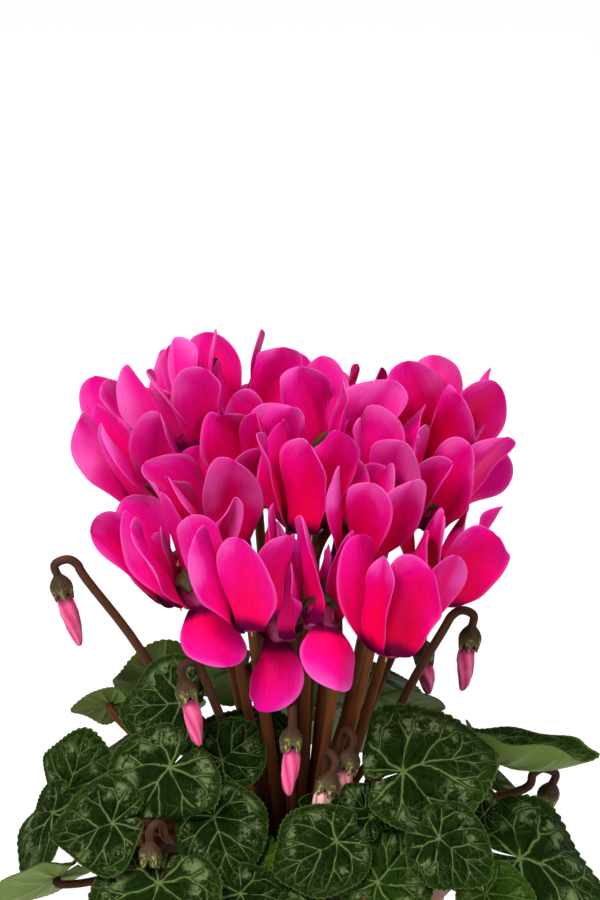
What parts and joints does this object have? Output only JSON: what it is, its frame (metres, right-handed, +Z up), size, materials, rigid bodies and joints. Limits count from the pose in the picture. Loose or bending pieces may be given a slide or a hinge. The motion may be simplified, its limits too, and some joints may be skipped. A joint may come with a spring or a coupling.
{
  "type": "potted cyclamen",
  "caption": "Magenta cyclamen in a plain round pot: a dense dome of swept-back flowers, drooping buds and marbled heart-shaped leaves.",
  "frame": {"origin": "middle of the pot's flat underside", "axes": "+Z up along the pot's axis, +X to the viewer's right, the viewer at -Y"},
  "size_m": [0.2272, 0.1913, 0.2993],
  "materials": {
    "plastic": "matte",
    "peat": "rough",
    "stems": "satin",
    "petals": "satin",
    "bud_petals": "satin",
    "leaves": "satin"
  },
  "bodies": {
    "root": {"pot": "plastic", "potting_soil": "peat", "corm_and_stems": "stems", "bloom_01": "petals", "bloom_02": "petals", "bloom_03": "petals", "bloom_04": "petals", "bloom_05": "petals", "bloom_06": "petals", "bloom_07": "petals", "bloom_08": "petals", "bloom_09": "petals", "bloom_10": "petals", "bloom_11": "petals", "bloom_12": "petals", "bloom_13": "petals", "bloom_14": "petals", "bloom_15": "petals", "bloom_16": "petals", "bloom_17": "petals", "bloom_18": "petals", "bloom_19": "petals", "bloom_20": "petals", "bloom_21": "petals", "bloom_22": "petals", "bloom_23": "petals", "bud_petals_01": "bud_petals", "bud_petals_02": "bud_petals", "bud_petals_03": "bud_petals", "bud_petals_04": "bud_petals", "bud_petals_05": "bud_petals", "bud_petals_06": "bud_petals", "bud_petals_07": "bud_petals", "bud_petals_08": "bud_petals", "leaf_01": "leaves", "leaf_02": "leaves", "leaf_03": "leaves", "leaf_04": "leaves", "leaf_05": "leaves", "leaf_06": "leaves", "leaf_07": "leaves", "leaf_08": "leaves", "leaf_09": "leaves", "leaf_10": "leaves", "leaf_11": "leaves", "leaf_12": "leaves", "leaf_13": "leaves", "leaf_14": "leaves", "leaf_15": "leaves", "leaf_16": "leaves", "leaf_17": "leaves", "leaf_18": "leaves", "leaf_19": "leaves", "leaf_20": "leaves", "leaf_21": "leaves", "leaf_22": "leaves", "leaf_23": "leaves", "leaf_24": "leaves", "leaf_25": "leaves", "leaf_26": "leaves"}
  },
  "joints": []
}
